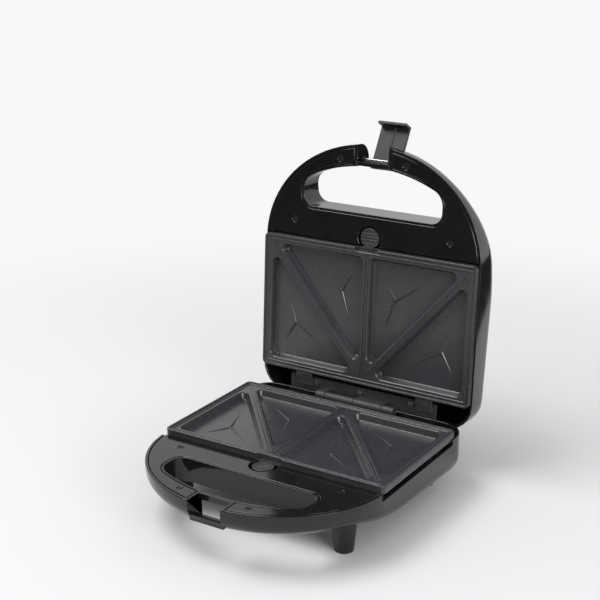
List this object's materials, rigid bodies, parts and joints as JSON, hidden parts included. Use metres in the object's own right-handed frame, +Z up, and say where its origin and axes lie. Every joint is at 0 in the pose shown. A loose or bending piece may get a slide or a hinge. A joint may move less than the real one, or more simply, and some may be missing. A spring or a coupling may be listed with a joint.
{
  "type": "sandwich toaster",
  "caption": "Countertop sandwich toaster with a hinged lid, non-stick plates with triangular pockets, hand openings in both halves and a flip-over latch.",
  "frame": {"origin": "on the table under the middle of the open toaster's box, at the level of the foot pads", "axes": "+Z up, +X to the right as seen from the handle, the handles point to -Y and the hinge is toward +Y"},
  "size_m": [0.2224, 0.3097, 0.3055],
  "materials": {
    "shell_plastic": "black, satin to gloss",
    "panel_plastic": "black, smooth satin",
    "nonstick_plate": "charcoal non-stick coating, fine speckle",
    "latch_plastic": "charcoal satin",
    "button_plastic": "dark grey satin",
    "black_rubber": "matte",
    "foot_plastic": "black satin",
    "bracket_plastic": "dark grey satin",
    "pale_plastic": "matte",
    "wire_sleeve": "woven sleeve",
    "lens_red": "clear red, gloss",
    "board_green": "satin",
    "dark_screw": "blackened",
    "steel": "satin"
  },
  "bodies": {
    "base": {"base_shell": "shell_plastic", "base_panel": "panel_plastic", "base_plate": "nonstick_plate", "base_reflector": "steel", "base_heater": "steel", "base_heater_supports": "steel", "base_thermostat": "steel", "thermal_fuse": "steel", "terminal_block": "pale_plastic", "base_wiring": "wire_sleeve", "cord_gland": "black_rubber", "base_button_spring": "steel", "base_plate_clips": "steel", "base_hinge_bracket": "bracket_plastic", "hinge_pin": "steel", "front_feet": "foot_plastic", "rear_feet": "foot_plastic", "foot_pads": "black_rubber", "foot_screws": "steel", "base_panel_screws": "dark_screw", "base_bracket_screws": "steel", "base_reflector_screws": "steel"},
    "lid": {"lid_shell": "shell_plastic", "lid_panel": "panel_plastic", "lid_plate": "nonstick_plate", "lid_reflector": "steel", "lid_heater": "steel", "lid_heater_supports": "steel", "lid_wiring": "wire_sleeve", "indicator_lenses": "lens_red", "lamp_board": "board_green", "lid_button_spring": "steel", "lid_plate_clips": "steel", "lid_hinge_bracket": "bracket_plastic", "lid_panel_screws": "dark_screw", "lid_bracket_screws": "steel", "lid_reflector_screws": "steel", "latch_pin": "steel"},
    "latch": {"latch": "latch_plastic"},
    "base_button": {"base_release_button": "button_plastic"},
    "lid_button": {"lid_release_button": "button_plastic"}
  },
  "joints": [
    {"name": "lid_hinge", "type": "hinge", "parent": "base", "child": "lid", "pos_m": [0, 0.08382, 0.0517], "axis": [1, 0, 0], "range_deg": [0, 93.7]},
    {"name": "latch_hinge", "type": "hinge", "parent": "lid", "child": "latch", "pos_m": [0, 0.1176, 0.27499], "axis": [1, 0, 0], "range_deg": [0, 116.4]},
    {"name": "base_release_slide", "type": "slide", "parent": "base", "child": "base_button", "axis": [0, -1, 0], "range_m": [0, 0.0022], "stiffness_N_per_m": 400, "springref_m": -0.002, "deforming": ["base_button_spring"]},
    {"name": "lid_release_slide", "type": "slide", "parent": "lid", "child": "lid_button", "axis": [0, 0.0645, 0.9979], "range_m": [0, 0.0022], "stiffness_N_per_m": 400, "springref_m": -0.002, "deforming": ["lid_button_spring"]}
  ]
}
